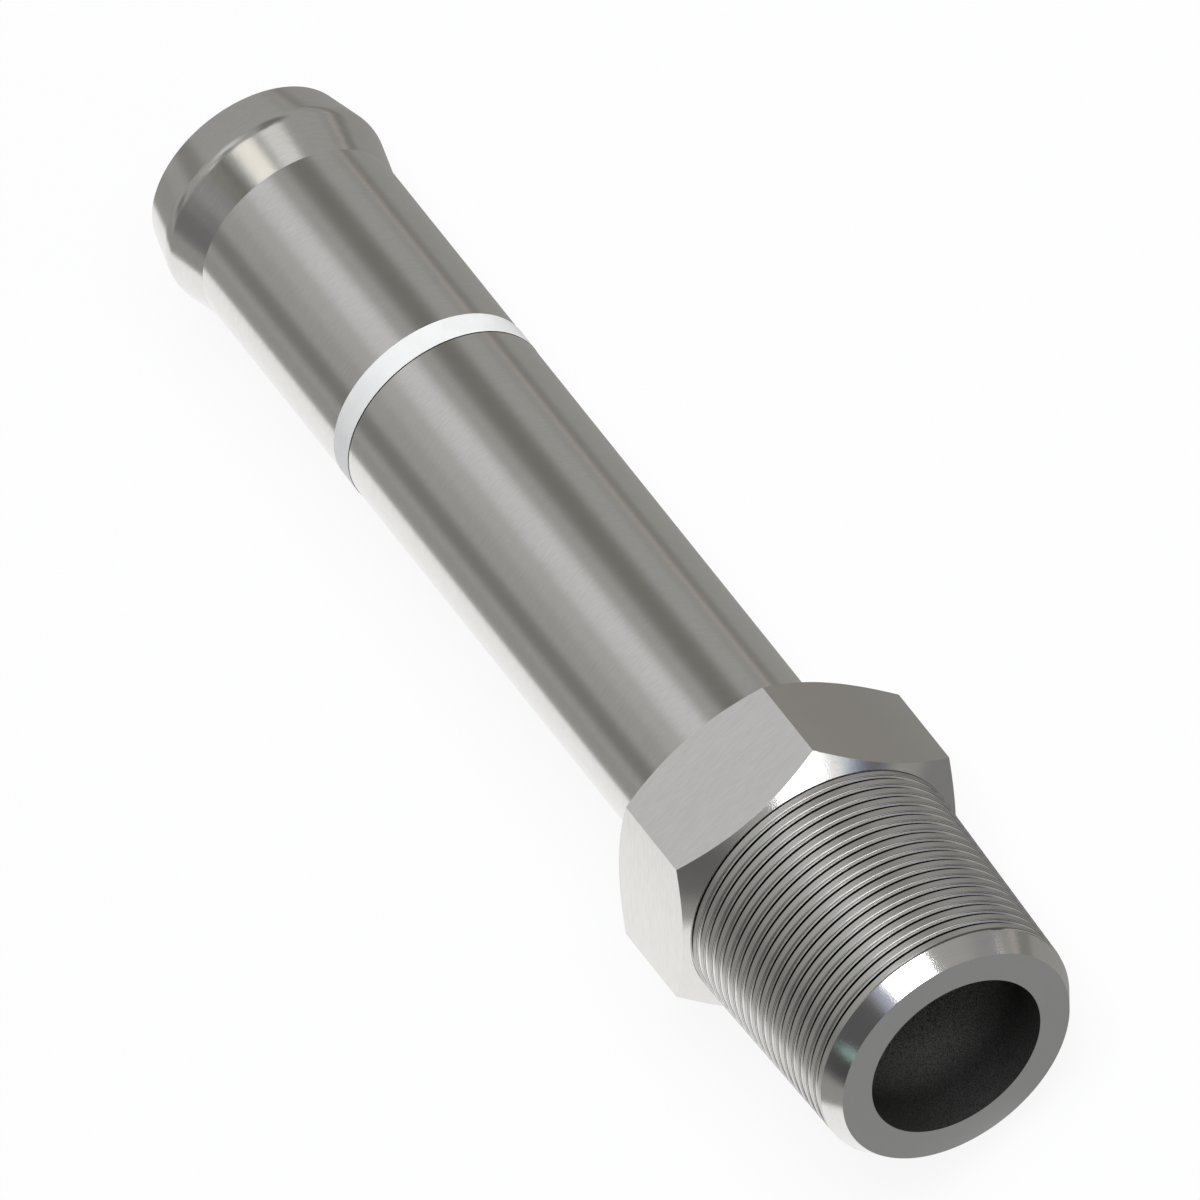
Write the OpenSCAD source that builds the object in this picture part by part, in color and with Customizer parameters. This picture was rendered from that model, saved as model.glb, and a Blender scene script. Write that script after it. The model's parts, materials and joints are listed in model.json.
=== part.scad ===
// Hose fitting: a tapered male pipe thread, a hexagon to turn it by, and a long plain stem with a bead
// for a hose. A white ring on the stem shows how far the hose goes on.
// Everything is turned about one axis and measured along it from the thread's end face.
// The fitting lies as it rests: on one flat of the hexagon and on the bead. The origin is the centre of
// the bore's mouth in the thread's end face. +X points out of the thread end, +Z is up.

/* [Overall] */
// Length from the thread's end face to the stem's tip
overall_len = 100; // [80:0.5:160]
// Diameter of the bore, which goes right through
bore_d = 13.7; // [6:0.1:14]

/* [Pipe thread] */
// Length from the end face to the hexagon
thread_len = 19; // [12:0.1:26]
// Diameter over the crests where the thread meets the hexagon
thread_d = 21.34; // [20:0.01:22]
// Length over which the diameter shrinks by 1 mm towards the end face
taper_run = 16; // [12:0.5:40]
// Distance from one groove to the next
thread_pitch = 0.98; // [0.8:0.01:1.8]
// Width of a groove at the crests
groove_w = 0.49; // [0.3:0.01:0.7]
// Angle between a groove's two flanks
groove_angle = 60; // [50:1:90]
// Width of the flat at the bottom of a groove
root_w = 0.05; // [0.02:0.01:0.1]
// Length of the chamfer at the end face
lead_len = 1.55; // [0.5:0.05:2.5]
// Angle of that chamfer to the axis
lead_angle = 30; // [15:1:45]
// Plain length between the chamfer and the first groove
first_land = 0.63; // [0.2:0.01:2]

/* [Hexagon] */
// Width across the flats
hex_af = 22.2; // [22.1:0.1:32]
// Length along the axis, with both chamfered sides
hex_len = 9.6; // [7:0.1:16]
// Angle of the chamfers to the hexagon's end faces
hex_chamfer = 30; // [15:1:40]

/* [Hose stem] */
// Diameter of the stem
stem_d = 16; // [15:0.1:19]
// Length of the bead, whose far end is the stem's tip
bead_len = 7.2; // [6:0.1:12]
// Height of the bead over the stem
bead_rise = 0.82; // [0.5:0.01:1.2]
// Radius of the bead's rounded crest
crest_r = 2.1; // [0.5:0.1:4]

/* [Depth ring] */
// Distance from the stem's tip to the ring
ring_from_tip = 25.9; // [16:0.1:45]
// Width of the ring
ring_w = 2; // [1:0.1:5]
// Depth of the ring's seat in the stem
seat_depth = 0.4; // [0.2:0.05:0.5]
// Height of the ring over the stem
ring_proud = 0.04; // [0:0.01:0.1]
// Gap between the ring's inside and the bottom of its seat
ring_clearance = 0.02; // [0.01:0.01:0.1]
// Gap beside the ring, on the hexagon's side
seam_w = 0.08; // [0.03:0.01:0.2]

/* [Hidden] */
$fn = 96;
// Straight pieces that round the bead's crest
CREST_STEPS = 8;
// Length by which a cutter passes the end that it opens
OVER = 1;

STEEL = [0.60, 0.59, 0.57];
WHITE = [0.96, 0.96, 0.95];

thread_r = thread_d / 2;
stem_r = stem_d / 2;
hex_flat_r = hex_af / 2;
hex_corner_r = hex_flat_r / cos(30);
hex_start = thread_len;
hex_end = hex_start + hex_len;

groove_depth = (groove_w - root_w) / 2 / tan(groove_angle / 2);
first_groove = lead_len + first_land;
groove_count = floor((thread_len - first_groove) / thread_pitch) + 1;

ring_end = overall_len - ring_from_tip;
ring_start = ring_end - ring_w;
seat_r = stem_r - seat_depth;

// The bead is a round crest between two cones that touch it. Its centre is given from the stem's surface.
bead_mid = overall_len - bead_len / 2;
crest_height = bead_rise - crest_r;
crest_centre_r = stem_r + crest_height;
bead_angle = asin(crest_r / norm([bead_len / 2, crest_height])) + atan2(crest_height, bead_len / 2);

// At rest the far edge of the lowest hexagon flat and the bead's crest touch the same surface.
flat_end = hex_end - (hex_flat_r - thread_r) * tan(hex_chamfer);
drop = hex_flat_r - crest_centre_r;
span = bead_mid - flat_end;
rest_tilt = acos(crest_r / norm([drop, span])) - atan2(span, drop);

// Radius over the thread's crests at a distance from the end face
function crest_at(s) = thread_r - (thread_len - s) / taper_run / 2;

// One groove of the thread, as four points of the outline: edge, root, root, edge
function groove(s) = [
    [crest_at(s), s],
    [crest_at(s) - groove_depth, s + (groove_w - root_w) / 2],
    [crest_at(s) - groove_depth, s + (groove_w + root_w) / 2],
    [crest_at(s + groove_w), s + groove_w]
];

function thread_outline() = concat(
    [
        [0, 0],
        [crest_at(lead_len) - lead_len * tan(lead_angle), 0],
        [crest_at(lead_len), lead_len]
    ],
    [for (i = [0 : groove_count - 1]) each groove(first_groove + i * thread_pitch)],
    [
        [thread_r, hex_start + hex_len / 2],
        [0, hex_start + hex_len / 2]
    ]
);

function stem_outline() = concat(
    [
        [0, hex_start + hex_len / 2],
        [stem_r, hex_start + hex_len / 2],
        [stem_r, ring_start - seam_w],
        [seat_r, ring_start - seam_w],
        [seat_r, ring_end],
        [stem_r, ring_end],
        [stem_r, overall_len - bead_len]
    ],
    [
        for (i = [0 : CREST_STEPS])
            let (a = bead_angle * (2 * i / CREST_STEPS - 1))
            [crest_centre_r + crest_r * cos(a), bead_mid + crest_r * sin(a)]
    ],
    [
        [stem_r, overall_len],
        [0, overall_len]
    ]
);

// Height of a hexagon chamfer from the circle where it starts to a radius
function chamfer_rise(r) = (r - thread_r) * tan(hex_chamfer);

// Turns a part from the turning axis to the way the fitting lies
module laid_down() {
    rotate([0, -90 - rest_tilt, 0]) children();
}

module pipe_thread() {
    rotate_extrude() polygon(thread_outline());
}

module hose_stem() {
    rotate_extrude() polygon(stem_outline());
}

// Hexagonal prism inside a barrel whose two cones chamfer its corners
module hexagon() {
    reach = hex_corner_r + OVER;
    intersection() {
        translate([0, 0, hex_start])
            rotate([0, 0, 30])
                cylinder(r = hex_corner_r, h = hex_len, $fn = 6);
        rotate_extrude()
            polygon([
                [0, hex_start],
                [thread_r, hex_start],
                [reach, hex_start + chamfer_rise(reach)],
                [reach, hex_end - chamfer_rise(reach)],
                [thread_r, hex_end],
                [0, hex_end]
            ]);
    }
}

module bore() {
    translate([0, 0, -OVER]) cylinder(d = bore_d, h = overall_len + 2 * OVER);
}

module fitting_body() {
    color(STEEL)
        laid_down()
            difference() {
                union() {
                    pipe_thread();
                    hexagon();
                    hose_stem();
                }
                bore();
            }
}

module depth_ring() {
    color(WHITE)
        laid_down()
            translate([0, 0, ring_start])
                difference() {
                    cylinder(r = stem_r + ring_proud, h = ring_w);
                    translate([0, 0, -OVER])
                        cylinder(r = seat_r + ring_clearance, h = ring_w + 2 * OVER);
                }
}

fitting_body();
depth_ring();
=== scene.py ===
"""Hose fitting in a plain studio.

A turned steel body with a tapered pipe thread, a hexagon and a beaded stem, and the white ring that sits
on the stem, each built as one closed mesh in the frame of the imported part.
"""

import json
import logging
import math
from collections.abc import Callable, Iterable
from dataclasses import dataclass, field
from enum import Enum

import bmesh
import bpy
from mathutils import Matrix, Vector


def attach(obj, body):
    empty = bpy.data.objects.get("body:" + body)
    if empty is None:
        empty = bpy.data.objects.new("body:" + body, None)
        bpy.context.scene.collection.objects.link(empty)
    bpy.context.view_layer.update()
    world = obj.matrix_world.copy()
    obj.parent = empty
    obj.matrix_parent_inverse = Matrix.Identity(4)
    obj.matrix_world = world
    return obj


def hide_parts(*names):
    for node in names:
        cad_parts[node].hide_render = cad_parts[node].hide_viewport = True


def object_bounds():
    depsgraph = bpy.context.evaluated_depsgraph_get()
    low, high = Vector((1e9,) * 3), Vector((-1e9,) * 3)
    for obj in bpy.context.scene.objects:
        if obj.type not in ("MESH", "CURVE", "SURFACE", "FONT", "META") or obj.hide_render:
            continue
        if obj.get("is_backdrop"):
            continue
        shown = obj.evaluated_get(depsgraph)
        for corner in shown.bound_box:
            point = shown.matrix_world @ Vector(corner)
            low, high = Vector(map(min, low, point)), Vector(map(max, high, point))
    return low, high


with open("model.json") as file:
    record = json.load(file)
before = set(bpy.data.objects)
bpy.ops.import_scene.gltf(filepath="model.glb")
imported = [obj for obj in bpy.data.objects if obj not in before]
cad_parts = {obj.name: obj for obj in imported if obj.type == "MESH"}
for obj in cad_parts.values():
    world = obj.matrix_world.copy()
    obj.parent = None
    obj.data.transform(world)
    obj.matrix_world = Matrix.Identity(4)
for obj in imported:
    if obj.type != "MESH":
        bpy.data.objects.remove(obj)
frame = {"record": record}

LOG = logging.getLogger("hose_fitting")
MM = 0.001
MICROMETRE = 0.000001
BLACK = (0.0, 0.0, 0.0)
WHITE = (1.0, 1.0, 1.0)
TURN = 2 * math.pi
# Columns of faces round the axis, a multiple of 12 so that the hexagon's corners fall on them
COLUMNS = 192
# Share of a column's width by which a vertex lies off the column
OFF_COLUMN = 1e-3
# Distances in millimetres: at which vertices merge, that a cut snaps over, on a cut, and near something
MERGE = 1e-4
SNAP = 1e-6
ON_CUT = 1e-5
NEAR = 0.01
# Angle from one flat of the hexagon to the next
SECTOR = math.radians(60)
# Angle between two faces up to which they are shaded as one smooth surface
SMOOTH_TO = math.radians(12)
BODY = "root"


class Surface(Enum):
    """The body's kinds of surface, in the order of its material slots."""

    TURNED = 0
    FACED = 1
    MILLED = 2
    BORED = 3
    THREADED = 4
    CHAMFERED = 5


@dataclass(frozen=True)
class TurningAxis:
    """Where the fitting's own axis lies. Distances run along it from the thread's end face.

    Attributes:
        out: Unit vector along the axis, out of the thread end.
        top: Unit vector across the axis, through the middle of the upper hexagon flat.
        length: Length of the fitting in millimetres.
        bore_r: Radius of the bore in millimetres.
    """

    out: Vector
    top: Vector
    length: float
    bore_r: float

    @classmethod
    def from_record(cls, record: dict) -> "TurningAxis":
        """Reads the axis and the bore from the record's mounts.

        Args:
            record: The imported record.

        Returns:
            The axis of the fitting as it lies.
        """
        bore = next(m for m in record["mounts"] if m["name"] == "bore")
        out = Vector(bore["axis"]).normalized()
        top = out.cross(Vector((0, 1, 0))).normalized()
        return cls(out, top, bore["dims"]["length_mm"], bore["dims"]["r_mm"])

    @property
    def side(self) -> Vector:
        """Unit vector across the axis and level."""
        return self.top.cross(self.out)

    def to_frame(self) -> Matrix:
        """Matrix from turning coordinates in millimetres, with Z along the axis, to the frame in metres."""
        turn = Matrix((self.top, self.side, -self.out)).transposed()
        return Matrix.Scale(MM, 4) @ turn.to_4x4()


class Lathe:
    """Carries a closed loop of edges along the Z axis and leaves a wall of faces behind it."""

    def __init__(self, bm: bmesh.types.BMesh, edges: Iterable[bmesh.types.BMEdge]) -> None:
        """Takes hold of a loop of edges in a mesh."""
        self.bm = bm
        self.edges = list(edges)

    def cut(self, radius: float | Callable[[float], float], s: float | Callable[[float], float],
            surface: Surface = Surface.TURNED) -> None:
        """Extrudes the loop to a new ring.

        Args:
            radius: Radius of the new ring, or a function of the angle about the axis.
            s: Distance of the new ring along the axis, or a function of that angle.
            surface: What the wall between the two rings is.
        """
        made = bmesh.ops.extrude_edge_only(self.bm, edges=self.edges)["geom"]
        verts = {g for g in made if isinstance(g, bmesh.types.BMVert)}
        for vert in verts:
            angle = math.atan2(vert.co.y, vert.co.x)
            r = radius(angle) if callable(radius) else radius
            z = s(angle) if callable(s) else s
            vert.co = (r * math.cos(angle), r * math.sin(angle), z)
        for face in (g for g in made if isinstance(g, bmesh.types.BMFace)):
            face.material_index = surface.value
        self.edges = [g for g in made if isinstance(g, bmesh.types.BMEdge) and verts.issuperset(g.verts)]


@dataclass(frozen=True)
class PipeThread:
    """Tapered male thread with one right-handed V-groove, in millimetres.

    Attributes:
        length: Distance from the end face to the hexagon.
        large_r: Radius over the crests at the hexagon.
        taper_run: Length over which the diameter shrinks by 1.
        pitch: Distance from one turn of the groove to the next.
        groove_w: Width of the groove at the crests.
        groove_angle: Angle between the groove's flanks.
        root_w: Width of the flat at the groove's bottom.
        crest_round: Size of the small bevel at the groove's edges.
        lead_len: Length of the lead chamfer.
        lead_angle: Angle of the lead chamfer to the axis.
        first_groove: Distance from the end face to the first turn.
        run_in: Where the groove starts and where it has its full depth.
        relief: Width of the relief at the hexagon.
        relief_depth: Depth of the relief as a share of the groove's.
        relief_flat: Share of the relief's width that its bottom takes.
    """

    length: float = 19.0
    large_r: float = 10.67
    taper_run: float = 16.0
    pitch: float = 0.98
    groove_w: float = 0.49
    groove_angle: float = math.radians(60)
    root_w: float = 0.05
    crest_round: float = 0.02
    lead_len: float = 1.55
    lead_angle: float = math.radians(30)
    first_groove: float = 2.17
    run_in: tuple[float, float] = (1.60, 1.85)
    relief: float = 0.16
    relief_depth: float = 1.05
    relief_flat: float = 1 / 3

    @property
    def depth(self) -> float:
        """Depth of the groove."""
        return (self.groove_w - self.root_w) / 2 / math.tan(self.groove_angle / 2)

    def crest_at(self, s: float) -> float:
        """Radius over the crests at a distance from the end face."""
        return self.large_r - (self.length - s) / self.taper_run / 2

    def period(self) -> list[tuple[float, float]]:
        """Outline of one turn.

        Returns:
            Distances along the axis from the groove's edge, each with the depth under the crest.
        """
        lip = self.crest_round
        along, down = lip * math.sin(self.groove_angle / 2), lip * math.cos(self.groove_angle / 2)
        middle = self.groove_w / 2
        return [
            (-lip, 0.0),
            (along, down),
            (middle - self.root_w / 2, self.depth),
            (middle + self.root_w / 2, self.depth),
            (self.groove_w - along, down),
            (self.groove_w + lip, 0.0),
        ]

    def wind(self, bm: bmesh.types.BMesh) -> tuple[list, list]:
        """Winds the threaded wall from the lead chamfer to the relief at the hexagon.

        Args:
            bm: The empty mesh that takes the wall.

        Returns:
            The loop of edges at the chamfer and the loop at the relief.
        """
        turns = math.ceil((self.length - self.first_groove) / self.pitch)
        last = None
        for turn in range(-2, turns + 2):
            for along, down in self.period():
                s = self.first_groove + turn * self.pitch + along
                vert = bm.verts.new((self.large_r - down, 0, s))
                if last is not None:
                    bm.edges.new((last, vert))
                last = vert
        bmesh.ops.spin(bm, geom=bm.verts[:] + bm.edges[:], cent=(0, 0, 0), axis=(0, 0, 1), angle=TURN,
                       dvec=(0, 0, self.pitch / COLUMNS), steps=COLUMNS, use_merge=False)
        bmesh.ops.remove_doubles(bm, verts=bm.verts, dist=MERGE)
        for face in bm.faces:
            face.material_index = Surface.THREADED.value
        start, full = self.run_in
        for vert in bm.verts:
            r, s = math.hypot(vert.co.x, vert.co.y), vert.co.z
            share = min(max((s - start) / (full - start), 0.0), 1.0)
            new_r = self.crest_at(s) - (self.large_r - r) * share
            vert.co.x *= new_r / r
            vert.co.y *= new_r / r
        front = self.trim(bm, self.lead_len, -1)
        rear = self.trim(bm, self.length - self.relief, 1)
        return front, rear

    def trim(self, bm: bmesh.types.BMesh, s: float, way: int) -> list[bmesh.types.BMEdge]:
        """Cuts the wall off square and leaves one vertex for each column on the cut.

        Args:
            bm: The mesh with the wall.
            s: Distance of the cut along the axis.
            way: 1 to take away what lies beyond the cut, -1 to take away what lies before it.

        Returns:
            The edges of the cut.
        """
        geom = bm.verts[:] + bm.edges[:] + bm.faces[:]
        bmesh.ops.bisect_plane(bm, geom=geom, dist=SNAP, plane_co=(0, 0, s), plane_no=(0, 0, way),
                               clear_outer=True)
        step = TURN / COLUMNS
        rim = [v for v in bm.verts if abs(v.co.z - s) < ON_CUT and v.is_boundary]
        extra = []
        for vert in rim:
            column = math.atan2(vert.co.y, vert.co.x) / step
            if abs(column - round(column)) > OFF_COLUMN:
                extra.append(vert)
        bmesh.ops.dissolve_verts(bm, verts=extra)
        return [e for e in bm.edges if e.is_boundary and all(abs(v.co.z - s) < ON_CUT for v in e.verts)]


@dataclass(frozen=True)
class Hexagon:
    """Hexagon with both sides chamfered, in millimetres.

    Attributes:
        start: Distance of the front face from the thread's end face.
        length: Length along the axis.
        across_flats: Width across the flats.
        chamfer: Angle of the chamfers to the end faces.
        chamfer_r: Radius at which the chamfers start.
    """

    start: float = 19.0
    length: float = 9.6
    across_flats: float = 22.2
    chamfer: float = math.radians(30)
    chamfer_r: float = 10.67

    @property
    def end(self) -> float:
        """Distance of the rear face from the thread's end face."""
        return self.start + self.length

    def edge_r(self, angle: float) -> float:
        """Radius of the prism at an angle, where the upper flat faces angle 0."""
        off = (angle + SECTOR / 2) % SECTOR - SECTOR / 2
        return self.across_flats / 2 / math.cos(off)

    def rise(self, angle: float) -> float:
        """How far the chamfer reaches along the axis at an angle."""
        return (self.edge_r(angle) - self.chamfer_r) * math.tan(self.chamfer)


@dataclass(frozen=True)
class Bead:
    """Bead at the stem's tip: a rounded crest between two cones, in millimetres.

    Attributes:
        length: Length along the axis.
        rise: Height over the stem.
        crest_r: Radius of the rounded crest.
        steps: Straight pieces that round the crest.
    """

    length: float = 7.2
    rise: float = 0.82
    crest_r: float = 2.1
    steps: int = 12

    def outline(self, stem_r: float, tip: float) -> list[tuple[float, float]]:
        """The bead's outline from the stem to the tip.

        Args:
            stem_r: Radius of the stem.
            tip: Distance of the tip from the thread's end face.

        Returns:
            Radii, each with its distance along the axis.
        """
        half, height = self.length / 2, self.rise - self.crest_r
        cone = math.asin(self.crest_r / math.hypot(half, height)) + math.atan2(height, half)
        arc = []
        for i in range(self.steps + 1):
            a = cone * (2 * i / self.steps - 1)
            radius = stem_r + height + self.crest_r * math.cos(a)
            arc.append((radius, tip - half + self.crest_r * math.sin(a)))
        return [(stem_r, tip - self.length), *arc, (stem_r, tip)]


@dataclass(frozen=True)
class RingSeat:
    """Shallow seat of the depth ring, and the ring itself, in millimetres.

    Attributes:
        from_tip: Distance from the stem's tip to the ring.
        width: Width of the ring.
        depth: Depth of the seat.
        proud: Height of the ring over the stem.
        clearance: Gap under the ring.
        seam: Gap beside the ring on the hexagon's side.
        edge_round: Size of the rounds on the ring's outer edges.
    """

    from_tip: float = 25.9
    width: float = 2.0
    depth: float = 0.4
    proud: float = 0.04
    clearance: float = 0.02
    seam: float = 0.08
    edge_round: float = 0.03


@dataclass
class FittingBody:
    """The one-piece steel body.

    Attributes:
        axis: Where the body's axis lies.
        thread: The pipe thread.
        hexagon: The hexagon.
        bead: The bead at the tip.
        seat: The ring's seat.
        stem_r: Radius of the hose stem in millimetres.
        edge_break: Width of the small bevel on sharp outer edges in millimetres.
        sharp_from: Angle between two faces from which their edge counts as sharp.
    """

    axis: TurningAxis
    thread: PipeThread = field(default_factory=PipeThread)
    hexagon: Hexagon = field(default_factory=Hexagon)
    bead: Bead = field(default_factory=Bead)
    seat: RingSeat = field(default_factory=RingSeat)
    stem_r: float = 8.0
    edge_break: float = 0.07
    sharp_from: float = math.radians(25)

    def build(self) -> bpy.types.Object:
        """Builds the body as one closed mesh.

        Returns:
            The body's object.
        """
        bm = bmesh.new()
        front, rear = self.thread.wind(bm)
        lathe = Lathe(bm, front)
        self.turn_end(lathe)
        self.turn_tip(lathe)
        self.turn_stem(lathe)
        self.turn_hexagon(lathe)
        self.close(bm, lathe, rear)
        self.break_edges(bm)
        return finish_mesh("fitting_body_dressed", bm, self.axis.to_frame())

    def turn_end(self, lathe: Lathe) -> None:
        """Turns the lead chamfer, the end face and the bore.

        Args:
            lathe: The lathe, at the end of the cut before.
        """
        thread = self.thread
        face_r = thread.crest_at(thread.lead_len) - thread.lead_len * math.tan(thread.lead_angle)
        lathe.cut(face_r, 0.0, Surface.CHAMFERED)
        lathe.cut(self.axis.bore_r, 0.0, Surface.FACED)
        lathe.cut(self.axis.bore_r, self.axis.length, Surface.BORED)

    def turn_tip(self, lathe: Lathe) -> None:
        """Turns the tip's face and the bead, from the tip back to the stem.

        Args:
            lathe: The lathe, at the end of the cut before.
        """
        outline = self.bead.outline(self.stem_r, self.axis.length)
        lathe.cut(outline[-1][0], outline[-1][1], Surface.FACED)
        lathe.cut(outline[-2][0], outline[-2][1])
        for radius, s in reversed(outline[:-2]):
            lathe.cut(radius, s, Surface.CHAMFERED)

    def turn_stem(self, lathe: Lathe) -> None:
        """Turns the stem and the ring's seat, back to the hexagon's rear face; the seat takes the bore's
        duller, darker finish as painted shade in the seam.

        Args:
            lathe: The lathe, at the end of the cut before.
        """
        seat = self.seat
        ring_end = self.axis.length - seat.from_tip
        seat_start = ring_end - seat.width - seat.seam
        lathe.cut(self.stem_r, ring_end)
        # Painted shade: the seat's walls and bottom take the bore's darker finish.
        lathe.cut(self.stem_r - seat.depth, ring_end, Surface.BORED)
        lathe.cut(self.stem_r - seat.depth, seat_start, Surface.BORED)
        lathe.cut(self.stem_r, seat_start, Surface.BORED)
        lathe.cut(self.stem_r, self.hexagon.end)

    def turn_hexagon(self, lathe: Lathe) -> None:
        """Shapes the hexagon from its rear face to the wall of the thread's relief.

        Args:
            lathe: The lathe, at the end of the cut before.
        """
        hexagon = self.hexagon
        lathe.cut(hexagon.chamfer_r, hexagon.end)
        lathe.cut(hexagon.edge_r, lambda a: hexagon.end - hexagon.rise(a), Surface.CHAMFERED)
        lathe.cut(hexagon.edge_r, lambda a: hexagon.start + hexagon.rise(a), Surface.MILLED)
        lathe.cut(hexagon.chamfer_r, hexagon.start, Surface.CHAMFERED)

    def close(self, bm: bmesh.types.BMesh, lathe: Lathe, rear: list) -> None:
        """Turns the relief's bottom and joins it to the threaded wall.

        Args:
            bm: The body's mesh.
            lathe: The lathe, at the hexagon's front face.
            rear: The threaded wall's loop of edges at the relief.
        """
        thread = self.thread
        bottom = thread.crest_at(thread.length - thread.relief) - thread.depth * thread.relief_depth
        lathe.cut(bottom, thread.length)
        lathe.cut(bottom, thread.length - thread.relief * thread.relief_flat)
        bmesh.ops.bridge_loops(bm, edges=lathe.edges + rear)
        bmesh.ops.recalc_face_normals(bm, faces=bm.faces)

    def break_edges(self, bm: bmesh.types.BMesh) -> None:
        """Takes the sharpness off the outer edges, apart from the thread's and the seat's.

        Args:
            bm: The body's mesh.
        """
        sharp = []
        for edge in bm.edges:
            if edge.calc_face_angle_signed(0.0) > self.sharp_from and all(map(self.is_plain, edge.verts)):
                sharp.append(edge)
        bmesh.ops.bevel(bm, geom=sharp, offset=self.edge_break, offset_type="OFFSET", segments=2,
                        profile=0.5, affect="EDGES", clamp_overlap=True, material=-1)

    def is_plain(self, vert: bmesh.types.BMVert) -> bool:
        """Tells whether a vertex is clear of the thread and of the seat.

        Args:
            vert: A vertex of the body, in the turning coordinates.

        Returns:
            True where nothing but plain turning is near.
        """
        thread, seat = self.thread, self.seat
        s = vert.co.z
        ring_middle = self.axis.length - seat.from_tip - seat.width / 2
        if thread.lead_len < s < thread.length + NEAR and vert.co.xy.length < thread.large_r + NEAR:
            return False
        return abs(s - ring_middle) > seat.width


@dataclass
class DepthRing:
    """The white ring on the stem.

    Attributes:
        axis: Where the ring's axis lies.
        seat: The ring's seat in the stem.
        stem_r: Radius of the hose stem in millimetres.
    """

    axis: TurningAxis
    seat: RingSeat = field(default_factory=RingSeat)
    stem_r: float = 8.0

    def build(self) -> bpy.types.Object:
        """Builds the ring as one closed mesh.

        Returns:
            The ring's object.
        """
        seat = self.seat
        end = self.axis.length - seat.from_tip
        start = end - seat.width
        inner, outer = self.stem_r - seat.depth + seat.clearance, self.stem_r + seat.proud
        bm = bmesh.new()
        outline = ((inner, start), (outer, start), (outer, end), (inner, end))
        corners = [bm.verts.new((radius, 0, s)) for radius, s in outline]
        for one, other in zip(corners, corners[1:] + corners[:1]):
            bm.edges.new((one, other))
        bmesh.ops.bevel(bm, geom=corners[1:3], offset=seat.edge_round, offset_type="OFFSET", segments=3,
                        profile=0.5, affect="VERTICES", material=-1)
        bmesh.ops.spin(bm, geom=bm.verts[:] + bm.edges[:], cent=(0, 0, 0), axis=(0, 0, 1), angle=TURN,
                       steps=COLUMNS, use_merge=True)
        bmesh.ops.recalc_face_normals(bm, faces=bm.faces)
        return finish_mesh("depth_ring_dressed", bm, self.axis.to_frame())


def finish_mesh(name: str, bm: bmesh.types.BMesh, place: Matrix) -> bpy.types.Object:
    """Turns a bmesh into an object whose place is in its mesh.

    Args:
        name: Name of the object and its mesh.
        bm: The mesh, which is freed.
        place: Matrix from the mesh's own coordinates to the frame.

    Returns:
        The object, at the origin.
    """
    bm.transform(place)
    for face in bm.faces:
        face.smooth = True
    mesh = bpy.data.meshes.new(name)
    bm.to_mesh(mesh)
    bm.free()
    mesh.set_sharp_from_angle(angle=SMOOTH_TO)
    obj = bpy.data.objects.new(name, mesh)
    bpy.context.scene.collection.objects.link(obj)
    return obj


@dataclass(frozen=True)
class Value:
    """A number or a vector in a node tree, on which arithmetic makes further nodes.

    Attributes:
        maker: The maker of the tree's nodes.
        out: The output socket that carries the value.
    """

    maker: "NodeMaker"
    out: bpy.types.NodeSocket

    def __add__(self, other: "Value | float") -> "Value":
        """The sum with another value."""
        return self.maker.math("ADD", self, other)

    __radd__ = __add__

    def __sub__(self, other: "Value | float") -> "Value":
        """The difference from another value."""
        return self.maker.math("SUBTRACT", self, other)

    def __rsub__(self, other: "Value | float") -> "Value":
        """Another value less this one."""
        return self.maker.math("SUBTRACT", other, self)

    def __mul__(self, other: "Value | float") -> "Value":
        """The product with another value."""
        return self.maker.math("MULTIPLY", self, other)

    __rmul__ = __mul__

    def __truediv__(self, other: "Value | float") -> "Value":
        """The quotient by another value."""
        return self.maker.math("DIVIDE", self, other)

    def __pow__(self, other: "Value | float") -> "Value":
        """The power to another value."""
        return self.maker.math("POWER", self, other)


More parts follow.
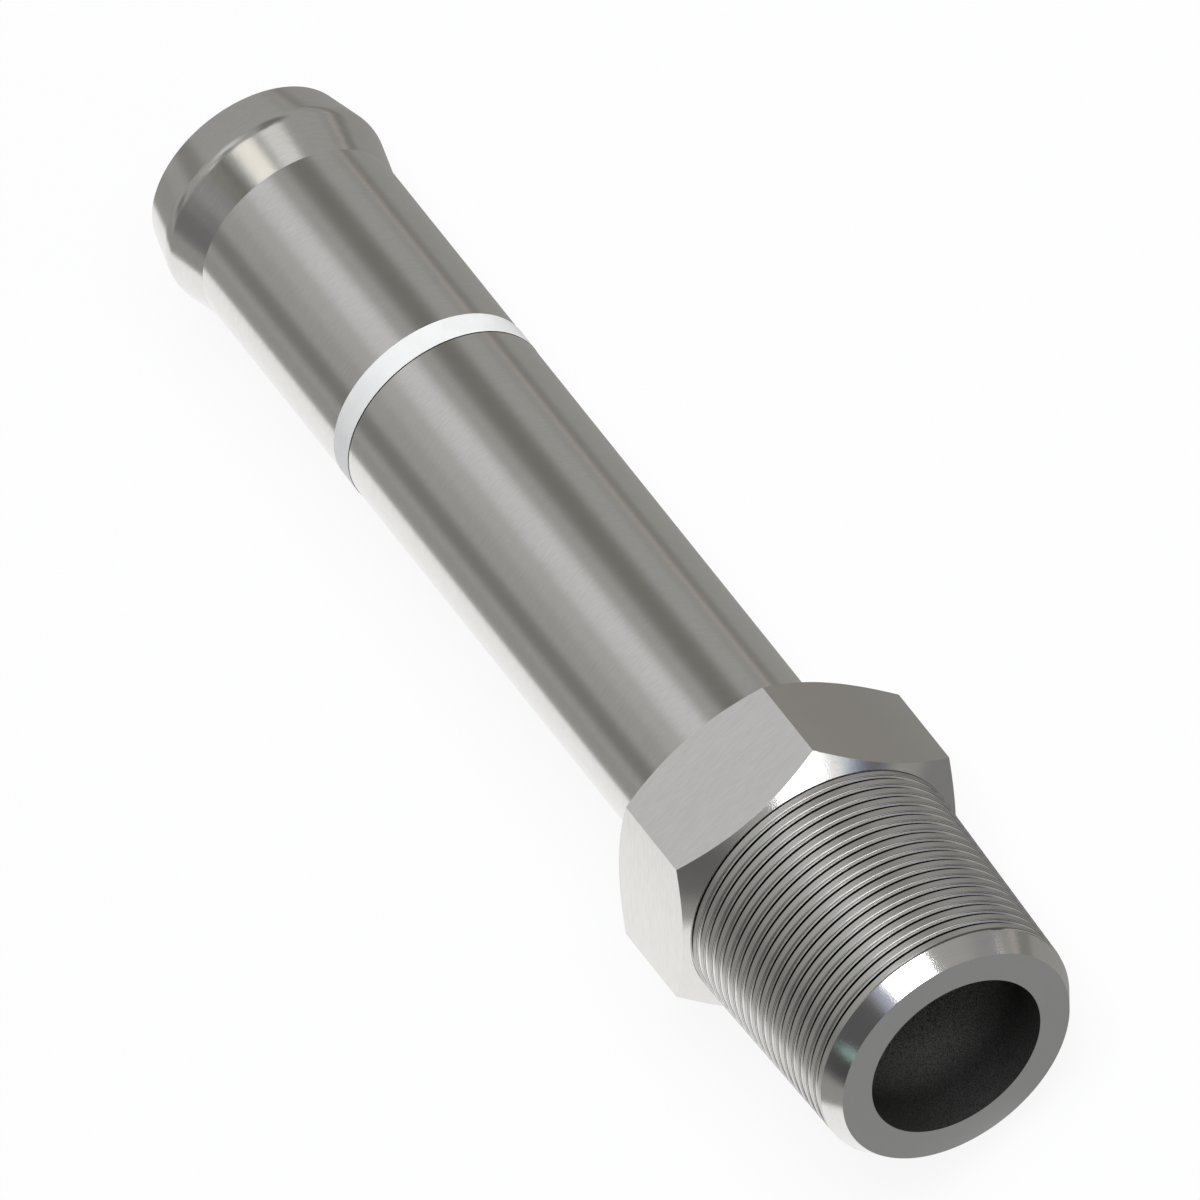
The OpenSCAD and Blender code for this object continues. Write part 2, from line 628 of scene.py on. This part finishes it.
class NodeMaker:
    """Makes the nodes of one tree."""

    def __init__(self, tree: bpy.types.NodeTree) -> None:
        """Takes hold of a node tree and empties it."""
        self.tree = tree
        tree.nodes.clear()

    def node(self, kind: str, settings: dict | None = None, inputs: dict | None = None) -> bpy.types.Node:
        """Makes any node.

        Args:
            kind: The node's type name.
            settings: The node's own properties by name.
            inputs: Values by the name or the number of the input socket.

        Returns:
            The node.
        """
        node = self.tree.nodes.new(kind)
        for name, setting in (settings or {}).items():
            setattr(node, name, setting)
        for key, value in (inputs or {}).items():
            self.feed(node.inputs[key], value)
        return node

    def feed(self, socket: bpy.types.NodeSocket, value: object) -> None:
        """Links a value into a socket, or sets the socket where the value is a constant.

        Args:
            socket: The socket to feed.
            value: A value, another node's socket or a constant.
        """
        if isinstance(value, Value):
            value = value.out
        if isinstance(value, bpy.types.NodeSocket):
            self.tree.links.new(value, socket)
        else:
            socket.default_value = value

    def value(self, kind: str, output: str | int = 0, settings: dict | None = None,
              inputs: dict | None = None) -> Value:
        """Makes any node and gives one of its outputs."""
        return Value(self, self.node(kind, settings, inputs).outputs[output])

    def math(self, operation: str, *terms: Value | float) -> Value:
        """Makes a Math node of the terms."""
        return self.value("ShaderNodeMath", 0, {"operation": operation}, dict(enumerate(terms)))

    def dot(self, one: Value, other: Vector) -> Value:
        """The dot product of a value and a fixed vector."""
        return self.value("ShaderNodeVectorMath", "Value", {"operation": "DOT_PRODUCT"}, {0: one, 1: other})

    def vector(self, x: Value | float, y: Value | float, z: Value | float) -> Value:
        """The vector of three values."""
        return self.value("ShaderNodeCombineXYZ", 0, None, {0: x, 1: y, 2: z})

    def blend(self, factor: Value, one: object, other: object) -> Value:
        """One colour turning into the other as the factor goes from 0 to 1."""
        settings = {"data_type": "RGBA", "clamp_factor": True}
        return self.value("ShaderNodeMix", 2, settings, {0: factor, 6: one, 7: other})

    def ramp(self, value: Value, low: float, high: float, start: float = 0.0, end: float = 1.0) -> Value:
        """A smooth step from start to end, as the value goes from low to high."""
        settings = {"interpolation_type": "SMOOTHSTEP", "clamp": True}
        return self.value("ShaderNodeMapRange", 0, settings, {0: value, 1: low, 2: high, 3: start, 4: end})

    def noise(self, place: Value, scale: float, detail: float = 2.0, rough: float = 0.5) -> Value:
        """Noise from 0 to 1, mostly near a half, at a place."""
        inputs = {"Vector": place, "Scale": scale, "Detail": detail, "Roughness": rough}
        return self.value("ShaderNodeTexNoise", 0, None, inputs)

    def bump(self, height: Value) -> Value:
        """The normal of a surface whose height is given in micrometres."""
        inputs = {"Height": height * MICROMETRE, "Strength": 1.0, "Distance": 1.0}
        return self.value("ShaderNodeBump", "Normal", None, inputs)


def rgba(colour: tuple[float, float, float]) -> tuple[float, float, float, float]:
    """A colour with full alpha."""
    return (*colour, 1.0)


@dataclass(frozen=True)
class SteelFinish:
    """Machined steel, with fine tool marks that run round the axis.

    Attributes:
        name: Name of the material.
        colour: Colour of the plain metal.
        shade: Colour in the darker marks.
        roughness: Roughness between the marks.
        mark_roughness: How much rougher the marks are.
        marks_per_mm: Tool marks in a millimetre.
        mark_depth: Depth of the marks in micrometres.
        bands_per_mm: Slow bands in a millimetre, left by the tool's feed.
        band_depth: Depth of the slow bands in micrometres.
        grit_depth: Depth of the grit between the marks in micrometres.
        grit_per_mm: Grains of the grit in a millimetre.
        curved: 1 where the marks run round the axis on any slope, 0 where they run straight over a flat.
        metallic: Share of bare metal in the surface.
        mark_changes: How fast a mark changes on its way round.
        band_changes: How fast a band changes on its way round.
        mottle_per_m: Blotches of the mottle in a metre.
        mark_edges: Noise at which a mark begins and at which it is full.
        soft_edges: The same for the bands and the mottle.
        mark_share: Share of the marks in the tone.
        band_share: Share of the bands in the tone.
        mottle_share: Share of the mottle in the tone.
    """

    name: str
    colour: tuple[float, float, float] = (0.785, 0.774, 0.752)
    shade: tuple[float, float, float] = (0.73, 0.72, 0.70)
    roughness: float = 0.15
    mark_roughness: float = 0.05
    marks_per_mm: float = 11.0
    mark_depth: float = 0.32
    bands_per_mm: float = 0.9
    band_depth: float = 0.3
    grit_depth: float = 0.8
    grit_per_mm: float = 9.0
    curved: float = 1.0
    metallic: float = 1.0
    mark_changes: float = 9.0
    band_changes: float = 1.5
    mottle_per_m: float = 900.0
    mark_edges: tuple[float, float] = (0.30, 0.72)
    soft_edges: tuple[float, float] = (0.3, 0.7)
    mark_share: float = 0.6
    band_share: float = 0.25
    mottle_share: float = 0.15

    def material(self, axis: TurningAxis) -> bpy.types.Material:
        """Makes the material.

        Args:
            axis: The axis that the marks run round.

        Returns:
            The material.
        """
        material = bpy.data.materials.new(self.name)
        material.use_nodes = True
        make = NodeMaker(material.node_tree)
        place = make.value("ShaderNodeTexCoord", "Object")
        along = make.dot(place, -axis.out / MM)
        top = make.dot(place, axis.top / MM)
        side = make.dot(place, axis.side / MM)
        radius = (top * top + side * side) ** 0.5
        run = along + radius * self.curved
        turn = (top / radius, side / radius)
        fine_at = make.vector(run * self.marks_per_mm, *(share * self.mark_changes for share in turn))
        slow_at = make.vector(run * self.bands_per_mm, *(share * self.band_changes for share in turn))
        fine = make.noise(fine_at, 1.0, 3.0, 0.6)
        slow = make.noise(slow_at, 1.0, 2.0)
        mottle = make.noise(place, self.mottle_per_m, 2.0)
        marks = make.ramp(fine, *self.mark_edges)
        tone = (marks * self.mark_share + make.ramp(slow, *self.soft_edges) * self.band_share
                + make.ramp(mottle, *self.soft_edges) * self.mottle_share)
        colour = make.blend(tone, rgba(self.shade), rgba(self.colour))
        grit = make.noise(place, self.grit_per_mm / MM, 1.0)
        roughness = self.roughness + self.mark_roughness * (1.0 - marks)
        height = fine * self.mark_depth + slow * self.band_depth + grit * self.grit_depth
        shader = make.node("ShaderNodeBsdfPrincipled", None, {
            "Metallic": self.metallic,
            "Base Color": self.shaded(make, colour, along, radius),
            "Roughness": self.roughened(make, roughness, along, radius),
            "Normal": make.bump(height),
        })
        make.node("ShaderNodeOutputMaterial", None, {"Surface": shader.outputs[0]})
        return material

    def shaded(self, make: NodeMaker, colour: Value, along: Value, radius: Value) -> Value:
        """The metal's colour where nothing darkens it."""
        return colour

    def roughened(self, make: NodeMaker, roughness: Value, along: Value, radius: Value) -> Value:
        """The roughness where nothing changes it."""
        return roughness


@dataclass(frozen=True)
class ThreadedSteel(SteelFinish):
    """Steel with a thread: painted highlights on the flanks, and painted shade on the crests' bevels, in a
    fine line along the flanks and in the bottom of the groove.

    Attributes:
        thread: The thread that the finish lies on.
        root_shade_colour: Painted shade in the bottom of the groove and in the fine line along the flank.
        dark_from: Depth in millimetres at which the metal starts to darken.
        dark_at: Depth in millimetres at which it is fully dark.
        step_at: Depth in millimetres of the fine line of painted shade along the flank.
        step_reach: Depth in millimetres over which that line fades to each side.
        step_share: How dark that line is, from 0 to 1.
        flank_roughness: How much rougher the flanks are than the crests, below 0 where they are smoother.
        flank_highlight_colour: Pale colour of the flanks, which brightens the highlight that they catch: a
            painted highlight.
        flank_at: Depth in millimetres at which the flanks' own roughness is reached.
        lip_shade_colour: Dark colour of the small bevel at the crests' edges, painted shade that dims its
            highlight.
        lip_edges: Depths in millimetres at which the small bevel begins and has its colour.
        lip_to: Depth in millimetres that the small bevel reaches.
        lip_fade: Depth in millimetres over which its colour turns into the flanks'.
    """

    thread: PipeThread = PipeThread()
    root_shade_colour: tuple[float, float, float] = (0.010, 0.010, 0.010)
    dark_from: float = 0.222
    dark_at: float = 0.234
    step_at: float = 0.084
    step_reach: float = 0.042
    step_share: float = 0.92
    flank_roughness: float = -0.04
    flank_highlight_colour: tuple[float, float, float] = (0.98, 0.97, 0.95)
    flank_at: float = 0.03
    lip_shade_colour: tuple[float, float, float] = (0.195, 0.193, 0.19)
    lip_edges: tuple[float, float] = (0.002, 0.005)
    lip_to: float = 0.02
    lip_fade: float = 0.01

    def depth(self, along: Value, radius: Value) -> Value:
        """Depth under the crests in millimetres."""
        thread = self.thread
        return thread.large_r - (thread.length - along) / (2 * thread.taper_run) - radius

    def shaded(self, make: NodeMaker, colour: Value, along: Value, radius: Value) -> Value:
        """The metal's colour, with painted shade on the bevels, along the flanks and in the groove, and
        painted highlights on the flanks.

        Args:
            make: Maker of the material's nodes.
            colour: The plain metal's colour.
            along: Distance from the end face in millimetres.
            radius: Distance from the axis in millimetres.

        Returns:
            The colour.
        """
        depth = self.depth(along, radius)
        # Painted shade: a fine dark line along each flank and a dark bottom of the groove.
        line = (make.ramp(depth, self.step_at - self.step_reach, self.step_at)
                * make.ramp(depth, self.step_at, self.step_at + self.step_reach, 1.0, 0.0))
        # Painted shade: the small bevel at the crest's edge is dark.
        lip = make.blend(make.ramp(depth, *self.lip_edges), colour, rgba(self.lip_shade_colour))
        # Painted highlight: the flanks below the bevel take a pale colour.
        past_lip = make.ramp(depth, self.lip_to, self.lip_to + self.lip_fade)
        flank = make.blend(past_lip, lip, rgba(self.flank_highlight_colour))
        flank = make.blend(line * self.step_share, flank, rgba(self.root_shade_colour))
        return make.blend(make.ramp(depth, self.dark_from, self.dark_at), flank, rgba(self.root_shade_colour))

    def roughened(self, make: NodeMaker, roughness: Value, along: Value, radius: Value) -> Value:
        """The roughness, which is the flanks' own in the groove."""
        depth = self.depth(along, radius)
        return roughness + make.ramp(depth, 0.0, self.flank_at, 0.0, self.flank_roughness)


@dataclass(frozen=True)
class BoredSteel(SteelFinish):
    """Drilled steel with a fine grain, painted near black as shade at the two mouths and a little paler
    deeper in, painted light against the shade farther in.

    Attributes:
        deep_painted_light: Paler colour of the metal away from the mouths, painted light against the bore's
            shade.
        deep_from: Distance from a mouth in millimetres at which it starts to grow paler.
        deep_at: Distance from a mouth in millimetres at which it is palest.
        length: Length of the bore in millimetres.
        grains_per_mm: Grains in a millimetre.
        grain_edges: Noise at which a dark grain begins and at which it is full.
        grain_share: How much darker the dark grains are, from 0 to 1.
    """

    deep_painted_light: tuple[float, float, float] = (0.66, 0.66, 0.625)
    deep_from: float = 3.0
    deep_at: float = 10.5
    length: float = 100.0
    grains_per_mm: float = 11.0
    grain_edges: tuple[float, float] = (0.40, 0.62)
    grain_share: float = 0.62

    def shaded(self, make: NodeMaker, colour: Value, along: Value, radius: Value) -> Value:
        """The metal's colour, grained, painted dark at the mouths and paler away from them as painted
        light.

        Args:
            make: Maker of the material's nodes.
            colour: The colour at the mouths, painted shade.
            along: Distance from the end face in millimetres.
            radius: Not used.

        Returns:
            The colour.
        """
        inward = make.math("MINIMUM", along, self.length - along)
        # Painted light: the colour grows paler away from the mouths, against the shade deep in the bore.
        plain = make.blend(make.ramp(inward, self.deep_from, self.deep_at), colour, rgba(self.deep_painted_light))
        place = make.value("ShaderNodeTexCoord", "Object")
        grain = make.ramp(make.noise(place, self.grains_per_mm / MM, 1.0), *self.grain_edges)
        return make.blend(grain * self.grain_share, plain, rgba(BLACK))


@dataclass(frozen=True)
class RingPlastic:
    """White satin plastic of the depth ring, painted near black where it goes into the stem: painted shade
    in the seam.

    Attributes:
        name: Name of the material.
        colour: Colour of the plastic.
        shade: Colour in its slight mottle.
        roughness: Roughness of the surface.
        mottle_per_m: Blotches of the mottle in a metre.
        mottle_edges: Noise at which a blotch begins and at which it is full.
        grains_per_m: Grains of the moulded grain in a metre.
        grain_depth: Depth of the moulded grain in micrometres.
        grain_roughness: How far the roughness varies with the grain.
        seam_shade: Near-black colour painted in the seam at the ring's foot, painted shade.
        seam_shade_to: Distance from the axis in millimetres that the painted shade reaches.
        seam_shade_fade: Distance in millimetres over which the painted shade fades.
    """

    name: str = "white_satin_plastic"
    colour: tuple[float, float, float] = (0.96, 0.96, 0.955)
    shade: tuple[float, float, float] = (0.92, 0.92, 0.915)
    roughness: float = 0.30
    mottle_per_m: float = 500.0
    mottle_edges: tuple[float, float] = (0.35, 0.65)
    grains_per_m: float = 6000.0
    grain_depth: float = 2.0
    grain_roughness: float = 0.15
    seam_shade: tuple[float, float, float] = (0.015, 0.015, 0.015)
    seam_shade_to: float = 8.025
    seam_shade_fade: float = 0.01

    def material(self, axis: TurningAxis) -> bpy.types.Material:
        """Makes the material.

        Args:
            axis: The ring's axis.

        Returns:
            The material.
        """
        material = bpy.data.materials.new(self.name)
        material.use_nodes = True
        make = NodeMaker(material.node_tree)
        place = make.value("ShaderNodeTexCoord", "Object")
        mottle = make.noise(place, self.mottle_per_m, 3.0)
        grain = make.noise(place, self.grains_per_m, 2.0)
        top, side = make.dot(place, axis.top / MM), make.dot(place, axis.side / MM)
        radius = (top * top + side * side) ** 0.5
        clean = make.blend(make.ramp(mottle, *self.mottle_edges), rgba(self.shade), rgba(self.colour))
        # Painted shade: the ring turns near black below just under its outer face, where the seam lies in
        # shade.
        shown = make.ramp(radius, self.seam_shade_to - self.seam_shade_fade, self.seam_shade_to)
        shader = make.node("ShaderNodeBsdfPrincipled", None, {
            "Base Color": make.blend(shown, rgba(self.seam_shade), clean),
            "Roughness": self.roughness + (grain - 0.5) * self.grain_roughness,
            "Normal": make.bump(grain * self.grain_depth),
        })
        make.node("ShaderNodeOutputMaterial", None, {"Surface": shader.outputs[0]})
        return material


@dataclass(frozen=True)
class Softbox:
    """A soft rectangular lamp that faces the fitting.

    Attributes:
        name: Name of the lamp.
        towards: Direction from the fitting to the lamp.
        size: Width and height in metres.
        radiance: Brightness of its face, where 1 is white.
        colour: Colour of its light.
        distance: Distance from the fitting in metres.
        along: Direction that its width follows.
    """

    name: str
    towards: tuple[float, float, float]
    size: tuple[float, float]
    radiance: float
    colour: tuple[float, float, float]
    distance: float = 1.0
    along: tuple[float, float, float] = (0.0, 1.0, 0.0)

    def place(self, target: Vector) -> None:
        """Hangs the lamp.

        Args:
            target: The point that the lamp faces.
        """
        light = bpy.data.lights.new(self.name, "AREA")
        light.shape = "RECTANGLE"
        light.size, light.size_y = self.size
        light.energy = self.radiance * math.pi * self.size[0] * self.size[1]
        light.color = self.colour
        lamp = bpy.data.objects.new(self.name, light)
        back = Vector(self.towards).normalized()
        down = back.cross(Vector(self.along)).normalized()
        turned = Matrix((down.cross(back), down, back)).transposed().to_4x4()
        lamp.matrix_world = Matrix.Translation(target + back * self.distance) @ turned
        lamp.visible_camera = False
        bpy.context.scene.collection.objects.link(lamp)


@dataclass(frozen=True)
class Patch:
    """A soft-edged patch of the studio's walls, seen from the fitting.

    Attributes:
        forward: Share of its direction along X, from the bead to the thread.
        turn: Turn of its direction about X, from straight up to the right, in degrees.
        half_angle: Angle in degrees from the middle at which the patch is half gone.
        soft: Width in degrees over which it fades.
        colour: Colour of the patch.
    """

    forward: float
    turn: float
    half_angle: float
    soft: float
    colour: tuple[float, float, float]

    def towards(self) -> Vector:
        """Unit vector from the fitting to the patch's middle."""
        out, turn = math.sqrt(1 - self.forward ** 2), math.radians(self.turn)
        return Vector((self.forward, out * math.sin(turn), out * math.cos(turn)))


@dataclass(frozen=True)
class FloorPatch:
    """A soft-edged rectangle of the floor with its own tone in the metal's reflections only: a painted
    reflection.

    Attributes:
        x: Its ends along X in metres.
        y: Its ends along Y in metres.
        soft: Width in metres over which it fades.
        tone: Its colour as the metal shows it.
    """

    x: tuple[float, float]
    y: tuple[float, float]
    soft: float
    tone: tuple[float, float, float]

    def share(self, make: NodeMaker, place: Value) -> Value:
        """How far the patch covers a place.

        Args:
            make: Maker of the floor's nodes.
            place: The place on the floor.

        Returns:
            1 inside the patch and 0 outside it.
        """
        cover = None
        for axis, (low, high) in ((Vector((1, 0, 0)), self.x), (Vector((0, 1, 0)), self.y)):
            at = make.dot(place, axis)
            inside = (make.ramp(at, low - self.soft / 2, low + self.soft / 2)
                      * make.ramp(at, high - self.soft / 2, high + self.soft / 2, 1.0, 0.0))
            cover = inside if cover is None else cover * inside
        return cover


@dataclass(frozen=True)
class Studio:
    """A pale floor, grey walls and soft lamps.

    Attributes:
        lamps: The lamps.
        patches: Patches of the walls.
        floor_patches: Patches of the floor with another tone in the metal, painted reflections.
        wall: Colour of the walls and the ceiling.
        horizon: Sine of the elevation up to which the surroundings are as white as the floor.
        floor_colour: Colour of the floor.
        floor_lift: Share of plain white in the floor as the camera sees it.
        floor_size: Side of the floor in metres.
        sheen: Share of its own painted reflection tone in the floor as the metal shows it.
        floor_reflection_tone: The floor's tone in the metal, a painted reflection.
    """

    lamps: tuple[Softbox, ...]
    patches: tuple[Patch, ...]
    floor_patches: tuple[FloorPatch, ...]
    wall: tuple[float, float, float] = (0.370, 0.366, 0.354)
    horizon: float = 0.012
    floor_colour: tuple[float, float, float] = (0.95, 0.95, 0.95)
    floor_lift: float = 0.90
    floor_size: float = 12.0
    sheen: float = 0.97
    floor_reflection_tone: tuple[float, float, float] = (0.311, 0.307, 0.291)

    def build(self) -> None:
        """Builds the studio round the fitting."""
        low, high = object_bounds()
        middle = (Vector(low) + Vector(high)) / 2
        for lamp in self.lamps:
            lamp.place(middle)
        self.paint_walls()
        self.lay_floor(low[2])

    def paint_walls(self) -> None:
        """Paints the world: white up to the horizon, grey with its patches above."""
        world = bpy.data.worlds.new("studio_walls")
        world.use_nodes = True
        bpy.context.scene.world = world
        make = NodeMaker(world.node_tree)
        towards = make.value("ShaderNodeTexCoord", "Generated")
        colour = rgba(self.wall)
        for patch in self.patches:
            near = make.dot(towards, patch.towards())
            outer = math.cos(math.radians(patch.half_angle + patch.soft / 2))
            inner = math.cos(math.radians(max(patch.half_angle - patch.soft / 2, 0.0)))
            colour = make.blend(make.ramp(near, outer, inner), colour, rgba(patch.colour))
        height = make.dot(towards, Vector((0, 0, 1)))
        path = make.node("ShaderNodeLightPath")
        seen = make.math("MAXIMUM", Value(make, path.outputs["Is Camera Ray"]),
                         Value(make, path.outputs["Is Transmission Ray"]))
        seen = make.math("MAXIMUM", seen, Value(make, path.outputs["Is Glossy Ray"]) * (1.0 - self.sheen))
        white = make.ramp(height, self.horizon, self.horizon * 2, 1.0, 0.0) * seen
        shown = make.blend(white, colour, rgba(WHITE))
        background = make.node("ShaderNodeBackground", None, {"Color": shown, "Strength": 1.0})
        make.node("ShaderNodeOutputWorld", None, {"Surface": background.outputs[0]})

    def lay_floor(self, height: float) -> None:
        """Lays the floor.

        Args:
            height: Height of its top in metres.
        """
        bm = bmesh.new()
        bmesh.ops.create_grid(bm, x_segments=1, y_segments=1, size=self.floor_size / 2)
        floor = finish_mesh("floor", bm, Matrix.Translation((0, 0, height)))
        floor.data.materials.append(self.floor_material())
        floor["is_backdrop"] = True

    def floor_material(self) -> bpy.types.Material:
        """Makes the floor's material, which keeps the shadow and lifts it a little towards white, and shows
        painted reflection tones in the metal.

        Returns:
            The material.
        """
        material = bpy.data.materials.new("pale_floor")
        material.use_nodes = True
        make = NodeMaker(material.node_tree)
        path = make.node("ShaderNodeLightPath")
        camera = Value(make, path.outputs["Is Camera Ray"])
        mirrored = make.math("MAXIMUM", Value(make, path.outputs["Is Glossy Ray"]),
                             Value(make, path.outputs["Is Transmission Ray"]))
        place = make.value("ShaderNodeTexCoord", "Object")
        # Painted reflections: the floor's tones, seen only by the metal's reflections; the camera sees
        # white.
        tone = rgba(self.floor_reflection_tone)
        for patch in self.floor_patches:
            tone = make.blend(patch.share(make, place), tone, rgba(patch.tone))
        tone = make.blend(camera, tone, rgba(WHITE))
        matt = make.node("ShaderNodeBsdfDiffuse", None, {"Color": rgba(self.floor_colour)})
        plain = make.node("ShaderNodeEmission", None, {"Color": tone, "Strength": 1.0})
        mixed = make.node("ShaderNodeMixShader", None, {0: camera * self.floor_lift + mirrored * self.sheen,
                                                        1: matt.outputs[0], 2: plain.outputs[0]})
        make.node("ShaderNodeOutputMaterial", None, {"Surface": mixed.outputs[0]})
        return material


@dataclass(frozen=True)
class PhotoCamera:
    """The camera at the photograph's viewing angle.

    Attributes:
        mouth: Pixel of the bore mouth's middle.
        picture: Side of the square picture in pixels.
        mm_per_pixel: Millimetres in a pixel across the fitting's middle.
        axis_on_picture: Angle in degrees between the picture's top and the axis as it runs to the bead.
        cos_view: Cosine of the angle between the axis and the line of sight.
        flat_turn: Turn in degrees of the upper hexagon flat from facing the camera.
        lens: Focal length in millimetres.
        sensor: Width of the sensor in millimetres.
        exact_at: Distance along the axis at which the picture is exact, in millimetres.
        clip: Nearest and farthest distance that it shows, in metres.
    """

    mouth: tuple[float, float] = (955.714, 1055.527)
    picture: float = 1200.0
    mm_per_pixel: float = 0.0706
    axis_on_picture: float = 38.711
    cos_view: float = 0.60381
    flat_turn: float = 4.15
    lens: float = 5000.0
    sensor: float = 36.0
    exact_at: float = 14.6
    clip: tuple[float, float] = (0.5, 60.0)

    def place(self, axis: TurningAxis) -> None:
        """Sets up the camera.

        Args:
            axis: The fitting's axis.
        """
        turn = math.radians(self.flat_turn)
        sin_view = math.sqrt(1 - self.cos_view ** 2)
        facing = axis.top * math.cos(turn) + axis.side * math.sin(turn)
        across = facing.cross(axis.out)
        along = facing * self.cos_view - axis.out * sin_view
        back = axis.out * self.cos_view + facing * sin_view
        lean = math.radians(self.axis_on_picture)
        right = across * math.cos(lean) - along * math.sin(lean)
        up = along * math.cos(lean) + across * math.sin(lean)
        focal_px = self.lens / self.sensor * self.picture
        middle = axis.length / 2 - self.exact_at
        reach = focal_px * self.mm_per_pixel - middle * self.cos_view
        run = self.exact_at * sin_view / self.mm_per_pixel
        x = self.mouth[0] - run * math.sin(lean) - self.picture / 2
        y = self.picture / 2 - self.mouth[1] + run * math.cos(lean)
        spot = axis.out * -self.exact_at
        place = spot + back * reach - (right * x + up * y) * (reach / focal_px)
        data = bpy.data.cameras.new("photo_camera")
        data.lens, data.sensor_width = self.lens, self.sensor
        data.clip_start, data.clip_end = self.clip
        camera = bpy.data.objects.new("photo_camera", data)
        turned = Matrix((right, up, back)).transposed().to_4x4()
        camera.matrix_world = Matrix.Translation(place * MM) @ turned
        bpy.context.scene.collection.objects.link(camera)
        bpy.context.scene.camera = camera


FINISHES = {
    Surface.TURNED: SteelFinish("turned_steel"),
    Surface.FACED: SteelFinish(
        "faced_steel", (0.660, 0.665, 0.684), (0.640, 0.645, 0.664), roughness=0.30, mark_roughness=0.03,
        marks_per_mm=7.0, mark_depth=0.2, grit_depth=0.3),
    Surface.MILLED: SteelFinish(
        "milled_steel", (0.81, 0.80, 0.778), (0.77, 0.76, 0.738), roughness=0.20, mark_roughness=0.03,
        marks_per_mm=6.0, mark_depth=0.15, grit_depth=0.3, curved=0.0),
    # Painted shade: the bore's near-black colour at its mouths.
    Surface.BORED: BoredSteel(
        "bored_steel", (0.072, 0.072, 0.067), (0.060, 0.060, 0.056), roughness=0.65, mark_roughness=0.1,
        marks_per_mm=5.0, mark_depth=0.5, grit_depth=3.0, grit_per_mm=5.0, metallic=0.6),
    Surface.THREADED: ThreadedSteel(
        "threaded_steel", (0.67, 0.66, 0.638), (0.62, 0.61, 0.588), roughness=0.30),
    Surface.CHAMFERED: SteelFinish(
        "chamfered_steel", roughness=0.11, marks_per_mm=9.0, mark_depth=0.3, grit_depth=5.0,
        grit_per_mm=11.0),
}

STUDIO = Studio(
    lamps=(
        Softbox("overhead_softbox", (0.235, 0.23, 0.93), (0.57, 0.76), 5.6, (0.95, 0.97, 0.985)),
        Softbox("low_front_softbox", (0.957, 0.27, 0.07), (0.30, 0.22), 2.4, (0.95, 0.975, 1.0)),
    ),
    patches=(
        Patch(0.30, -45.0, 30.0, 30.0, (0.101, 0.101, 0.106)),
        Patch(0.36, 4.0, 20.0, 8.0, (0.385, 0.413, 0.510)),
        Patch(0.20, -75.0, 15.0, 14.0, (0.072, 0.072, 0.072)),
        Patch(0.80, -75.0, 22.0, 22.0, (0.118, 0.118, 0.118)),
        Patch(0.23, -63.0, 4.5, 4.0, (0.33, 0.48, 0.455)),
        Patch(-0.24, -72.0, 13.0, 14.0, (0.177, 0.177, 0.177)),
        Patch(-0.19, -38.0, 7.0, 10.0, (0.303, 0.303, 0.303)),
        Patch(-0.60, -68.0, 7.0, 10.0, (0.202, 0.202, 0.194)),
        Patch(-0.88, -50.0, 6.0, 8.0, (0.236, 0.228, 0.210)),
        Patch(-0.17, -12.0, 10.0, 7.0, (0.165, 0.163, 0.142)),
        Patch(-0.60, -20.0, 9.0, 12.0, (0.450, 0.450, 0.440)),
        Patch(-0.64, 4.0, 8.5, 16.0, (0.670, 0.661, 0.670)),
        Patch(-0.46, 0.0, 6.0, 7.0, (0.250, 0.250, 0.250)),
        Patch(-0.36, -16.0, 4.5, 6.0, (0.587, 0.587, 0.587)),
        Patch(-0.20, 43.0, 10.0, 8.0, (0.761, 0.752, 0.734)),
        Patch(-0.17, 15.0, 10.5, 5.0, (0.917, 0.890, 0.817)),
        Patch(-0.60, 52.0, 8.0, 16.0, (0.185, 0.177, 0.160)),
        Patch(-0.42, 40.0, 4.0, 8.0, (0.151, 0.151, 0.143)),
        Patch(0.18, 85.0, 14.0, 20.0, (0.294, 0.294, 0.294)),
    ),
    # Painted reflections: white sheets, dark and pinkish stripes and a painted shadow beside the hexagon,
    # seen only in the metal.
    floor_patches=(
        FloorPatch((-0.122, 0.001), (-0.0460, 0.0), 0.006, WHITE),
        FloorPatch((-0.004, 0.024), (-0.0500, -0.027), 0.006, WHITE),
        FloorPatch((-0.3, 0.06), (0.062, 0.085), 0.010, (0.435, 0.387, 0.357)),
        FloorPatch((-0.3, 0.06), (0.034, 0.060), 0.008, (0.218, 0.210, 0.194)),
        # Painted shadow on the floor beside the hexagon, seen only in the metal.
        FloorPatch((-0.03, -0.008), (0.0, 0.026), 0.006, (0.211, 0.211, 0.211)),
        FloorPatch((0.012, 0.06), (0.025, 0.075), 0.010, (0.126, 0.135, 0.160)),
        FloorPatch((0.055, 0.11), (0.02, 0.2), 0.02, (0.275, 0.330, 0.440)),
        FloorPatch((0.11, 6.0), (0.02, 6.0), 0.03, WHITE),
        FloorPatch((0.09, 6.0), (-6.0, 0.0), 0.08, (0.126, 0.126, 0.126)),
    ),
)


def dress(obj: bpy.types.Object, node: str, materials: Iterable[bpy.types.Material]) -> None:
    """Gives a piece its materials and its place in the part.

    Args:
        obj: The piece.
        node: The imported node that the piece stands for.
        materials: The piece's materials in the order of its slots.
    """
    for material in materials:
        obj.data.materials.append(material)
    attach(obj, BODY)
    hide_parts(node)
    LOG.info("%s: %d faces", obj.name, len(obj.data.polygons))


def main() -> None:
    """Builds and dresses every piece, then the studio and the camera."""
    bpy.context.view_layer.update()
    axis = TurningAxis.from_record(frame["record"])
    PhotoCamera().place(axis)
    dress(FittingBody(axis).build(), "fitting_body",
          [FINISHES[surface].material(axis) for surface in Surface])
    dress(DepthRing(axis).build(), "depth_ring", [RingPlastic().material(axis)])
    STUDIO.build()
    bpy.context.scene.view_settings.view_transform = "Standard"


if __name__ == "__main__":
    logging.basicConfig(level=logging.INFO)
    main()
